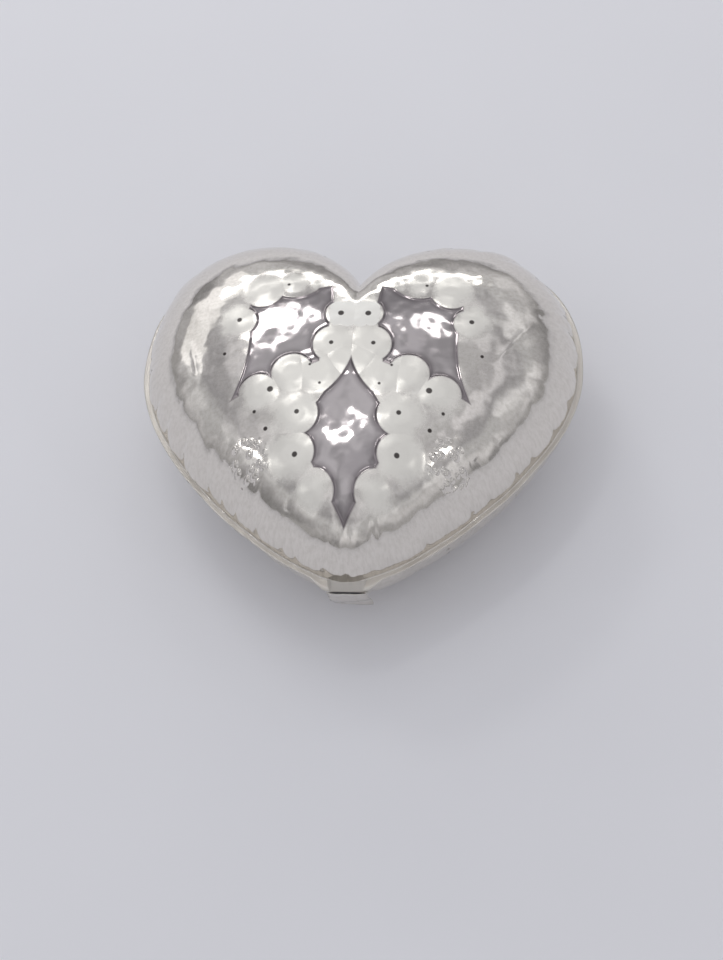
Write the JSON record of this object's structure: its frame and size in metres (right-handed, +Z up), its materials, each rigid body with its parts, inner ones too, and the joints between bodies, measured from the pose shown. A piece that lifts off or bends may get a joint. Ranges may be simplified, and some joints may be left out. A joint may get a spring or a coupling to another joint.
{
  "type": "heart foil balloon",
  "caption": "Air-filled heart-shaped foil balloon lying on its back, with a lace print on its mirror front, a welded edge and a self-sealing neck folded under the tip.",
  "frame": {"origin": "on the surface the balloon lies on, under the middle of its length and width", "axes": "+Z up, out of the printed front; +Y towards the notch between the lobes; -Y towards the tip and its neck; +X across the lobes"},
  "size_m": [0.36, 0.3172, 0.172],
  "materials": {
    "printed_foil": "metallised film with a printed lace pattern in satin cream, mauve mirror windows",
    "plain_foil": "plain metallised film, mirror-bright",
    "clear_film": "clear thin plastic film, glossy"
  },
  "bodies": {
    "envelope": {"front_foil_panel": "printed_foil", "back_foil_panel": "plain_foil", "valve_film_front": "clear_film", "valve_film_back": "clear_film"},
    "neck": {"neck_foil_front": "plain_foil", "neck_foil_back": "plain_foil", "neck_valve_front": "clear_film", "neck_valve_back": "clear_film"}
  },
  "joints": [
    {"name": "neck_fold", "type": "hinge", "parent": "envelope", "child": "neck", "pos_m": [0, -0.15753, 0.0854], "axis": [-1, 0, 0], "range_deg": [0, 116]}
  ]
}
